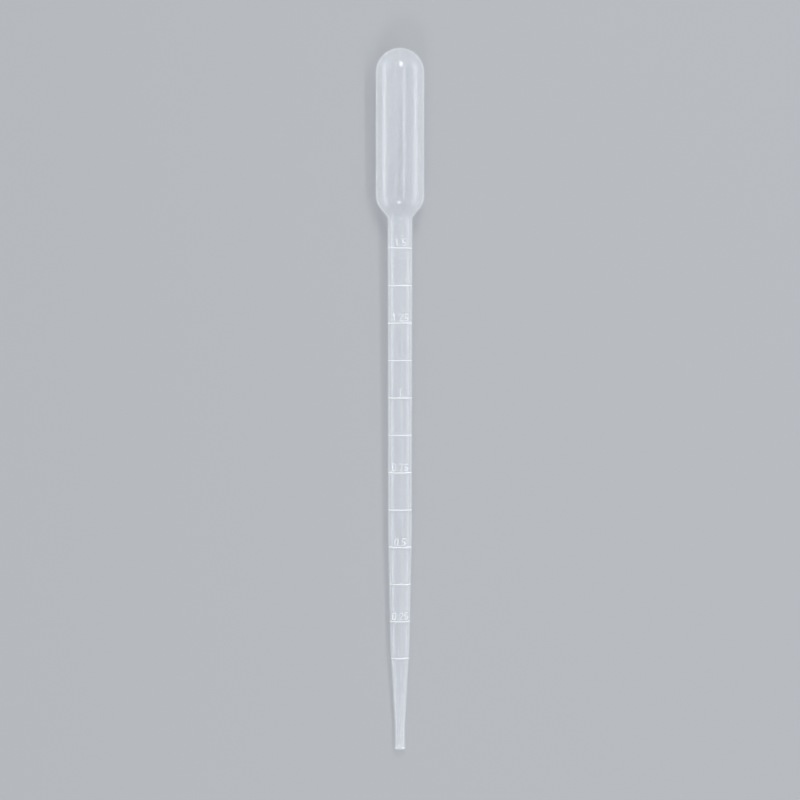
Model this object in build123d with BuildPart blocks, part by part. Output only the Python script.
"""A plastic dropper pipette: one blown tube with a squeeze bulb, a tapered stem and an open tip.

It lies as it comes to rest on a flat surface: its stem and the bulb's shoulder touch z = 0, the dome
points to +Y and the graduations face up. The origin is the middle of its footprint. Millimetres.
"""
import os
from math import asin, atan2, cos, hypot, radians, sin, tan

from build123d import *

# Driving dimensions. A station is a distance along the pipette from the open end of its tip.
overall_length = 160.0

bulb_diameter = 11.2
bulb_length = 38.5  # from the crown of the dome to the end of the stem
bulb_wall = 0.45
shoulder_angle = 40.0  # half angle of the cone between the stem and the bulb
shoulder_round = 5.0  # outer radius between the cone and the bulb's side
shoulder_flat = 0.12  # how far the soft shoulder gives where the pipette rests on it
neck_round = 1.0  # outer radius between the stem and the cone

stem_top_diameter = 5.8
waist_diameter = 5.6
waist_station = 50.0
knee_diameter = 4.6
knee_station = 24.0
stem_wall = 0.5
taper_blend = 60.0  # radius that eases each taper of the stem into the next

tip_diameter = 2.5
tip_bore = 1.4
tip_land = 5.0  # straight stretch at the open end
tip_blend = 12.0  # radius between the straight stretch and the first taper

scale_start = 21.0  # station of the lowest graduation
scale_end_gap = 7.0  # from the highest graduation to the end of the stem
scale_steps = 12
steps_per_number = 2
volume_step = 0.125  # in millilitres, from one graduation to the next
graduation_arc = 120.0  # degrees of the stem's girth
graduation_width = 0.3
numeral_height = 1.5
numeral_stroke = 0.24
numeral_gap = 0.5  # from a graduation's middle to the foot of its number
numeral_spacing = 0.3  # between the characters of a number
relief = 0.15  # how far graduations and numbers stand proud of the stem
root = 0.2  # how far they reach down into its wall

# Worked out from the dimensions above.
bulb_radius = bulb_diameter / 2
stem_top_radius = stem_top_diameter / 2
waist_radius = waist_diameter / 2
knee_radius = knee_diameter / 2
tip_radius = tip_diameter / 2
bore_radius = tip_bore / 2
inner_bulb_radius = bulb_radius - bulb_wall
inner_stem_radius = stem_top_radius - stem_wall
stem_end = overall_length - bulb_length
dome_station = overall_length - bulb_radius
cone_rise = tan(radians(shoulder_angle))
corner_shift = tan(radians(shoulder_angle / 2))
shoulder_station = stem_end + (bulb_radius - stem_top_radius) / cone_rise
inner_stem_end = stem_end + stem_wall * corner_shift
inner_shoulder_station = inner_stem_end + (inner_bulb_radius - inner_stem_radius) / cone_rise

# Corners of the outside, from the tip's rim to the dome, each as a station and a radius.
outer_points = [
    (0, tip_radius),
    (tip_land, tip_radius),
    (knee_station, knee_radius),
    (waist_station, waist_radius),
    (stem_end, stem_top_radius),
    (shoulder_station, bulb_radius),
    (dome_station, bulb_radius),
]
outer_rounds = [tip_blend, taper_blend, taper_blend, neck_round, shoulder_round]

# The rest pose: the pipette leans on its rounded shoulder, which has a small flat spot there, until
# a corner further down touches too.
round_station = shoulder_station + shoulder_round * corner_shift
round_centre = bulb_radius - shoulder_round
resting_round = shoulder_round - shoulder_flat


def lean_on(station, radius):
    """Lean at which this corner and the shoulder's flat spot touch one flat surface."""
    run = round_station - station
    rise = round_centre - radius
    return atan2(rise, run) + asin(resting_round / hypot(run, rise))


lean = min(lean_on(station, radius) for station, radius in outer_points[:4])
tip_height = resting_round - round_station * sin(lean) + round_centre * cos(lean)
footprint = dome_station * cos(lean) + bulb_radius + tip_radius * sin(lean)

# The half section's plane: x runs up the pipette from its open end, and y is the radius.
section = Plane(
    origin=(0, tip_radius * sin(lean) - footprint / 2, tip_height),
    x_dir=(0, cos(lean), sin(lean)),
    z_dir=(1, 0, 0),
)
pipette_axis = Axis(section.origin, section.x_dir)
# Graduations start on this plane, half of their arc before the top of the stem.
scale_section = Plane(
    origin=section.origin,
    x_dir=section.x_dir,
    z_dir=section.z_dir.rotate(pipette_axis, -graduation_arc / 2),
)
# Numbers are drawn on this plane, upright when the tip points down.
number_face = Plane(origin=section.origin, x_dir=(1, 0, 0), z_dir=section.y_dir)

inner_points = [
    (0, bore_radius),
    (tip_land, bore_radius),
    (knee_station, knee_radius - stem_wall),
    (waist_station, waist_radius - stem_wall),
    (inner_stem_end, inner_stem_radius),
    (inner_shoulder_station, inner_bulb_radius),
    (dome_station, inner_bulb_radius),
]
inner_rounds = [
    tip_blend,
    taper_blend,
    taper_blend,
    neck_round + stem_wall,
    shoulder_round - bulb_wall,
]

scale_pitch = (stem_end - scale_end_gap - scale_start) / (scale_steps - 1)
graduation_stations = [scale_start + step * scale_pitch for step in range(scale_steps)]
numbered_steps = range(steps_per_number - 1, scale_steps, steps_per_number)

# Every character is drawn with straight strokes and round ones of one radius, on a grid with the
# round stroke's radius as its unit: two units wide and four high.
bowl = numeral_height / 4
numeral_width = 2 * bowl
straight_strokes = {
    "0": [((0, 1), (0, 3)), ((2, 1), (2, 3))],
    "1": [((1.2, 0), (1.2, 4)), ((1.2, 4), (0.4, 3.2))],
    "2": [((2, 3), (0, 0)), ((0, 0), (2, 0))],
    "3": [],
    "4": [((1.5, 0), (1.5, 4)), ((1.5, 4), (0, 1.2)), ((0, 1.2), (2, 1.2))],
    "5": [((2, 4), (0.36, 4)), ((0.36, 4), (0.36, 1.77))],
    "6": [((0, 1), (0, 3))],
    "7": [((0, 4), (2, 4)), ((2, 4), (0.7, 0))],
    "8": [],
    "9": [((2, 1), (2, 3))],
}
# The middle of each round stroke, the angle it starts at and the angle it sweeps.
round_strokes = {
    "0": [((1, 3), 0, 180), ((1, 1), 180, 180)],
    "1": [],
    "2": [((1, 3), 0, 180)],
    "3": [((1, 3), -90, 240), ((1, 1), -150, 240)],
    "4": [],
    "5": [((1, 1), -140, 270)],
    "6": [((1, 3), 30, 150), ((1, 1), 0, 180), ((1, 1), 180, 180)],
    "7": [],
    "8": [((1, 3), 0, 180), ((1, 3), 180, 180), ((1, 1), 0, 180), ((1, 1), 180, 180)],
    "9": [((1, 1), 210, 150), ((1, 3), 0, 180), ((1, 3), 180, 180)],
}


def stem_radius(station):
    """Outer radius of the tapered stem at a station."""
    tapers = outer_points[1:5]
    for (low, low_radius), (high, high_radius) in zip(tapers, tapers[1:]):
        if station <= high:
            break
    return low_radius + (high_radius - low_radius) * (station - low) / (high - low)


def half_section(points, rounds):
    """Half section under an outline that ends in a dome, to be added to a sketch on its plane."""
    crown_station = dome_station + points[-1][1]
    with BuildSketch() as half:
        with BuildLine():
            outline = FilletPolyline(*points, radius=rounds)
            RadiusArc(outline @ 1, (crown_station, 0), points[-1][1])
            Polyline((crown_station, 0), (0, 0), outline @ 0)
        make_face()
    return half.sketch


def character_width(character):
    """Width of a character, or of the point in a number."""
    return numeral_stroke if character == "." else numeral_width


def draw_character(character, left, foot):
    """Sketch one character with its lower left corner at the given place."""
    corner = Vector(left, foot)
    if character == ".":
        with Locations(corner + Vector(numeral_stroke / 2, 0)):
            Circle(numeral_stroke / 2)
        return
    for start, end in straight_strokes[character]:
        first = corner + Vector(*start) * bowl
        last = corner + Vector(*end) * bowl
        SlotCenterPoint((first + last) / 2, last, numeral_stroke)
    for middle, start_angle, sweep_angle in round_strokes[character]:
        stroke = CenterArc(
            corner + Vector(*middle) * bowl, bowl, start_angle, sweep_angle, mode=Mode.PRIVATE
        )
        SlotArc(stroke, numeral_stroke)


def draw_number(value, station):
    """Sketch a number across the stem, with its foot at the given station."""
    characters = f"{value:g}"
    widths = [character_width(character) for character in characters]
    left = -(sum(widths) + numeral_spacing * (len(widths) - 1)) / 2
    for character, width in zip(characters, widths):
        draw_character(character, left, station)
        left += width + numeral_spacing


with BuildPart() as graduations:
    for station in graduation_stations:
        rib_middle = stem_radius(station) + (relief - root) / 2
        with BuildSketch(scale_section):
            with Locations((station, rib_middle)):
                Rectangle(graduation_width, relief + root)
        revolve(axis=pipette_axis, revolution_arc=graduation_arc)

# The numbers stand on a skin that follows the stem, from their roots up to their faces.
numbered_stations = [graduation_stations[step] + numeral_gap for step in numbered_steps]
with BuildPart() as numbers:
    with BuildSketch(number_face):
        for step, station in zip(numbered_steps, numbered_stations):
            draw_number((step + 1) * volume_step, station)
    extrude(amount=stem_top_radius + relief)
    with BuildSketch(section):
        with BuildLine():
            Polyline(
                *[(station, radius + relief) for station, radius in outer_points[1:5]],
                *[(station, radius - root) for station, radius in reversed(outer_points[1:5])],
                close=True,
            )
        make_face()
    revolve(axis=pipette_axis, mode=Mode.INTERSECT)

with BuildPart() as pipette:
    with BuildSketch(section):
        add(half_section(outer_points, outer_rounds))
    revolve(axis=pipette_axis)
    add(graduations.part)
    add(numbers.part)
    with BuildSketch(section):
        add(half_section(inner_points, inner_rounds))
    revolve(axis=pipette_axis, mode=Mode.SUBTRACT)
    split(bisect_by=Plane.XY, keep=Keep.TOP)

pipette.part.label = "pipette"

os.makedirs("parts", exist_ok=True)
export_step(pipette.part, "parts/pipette.step")
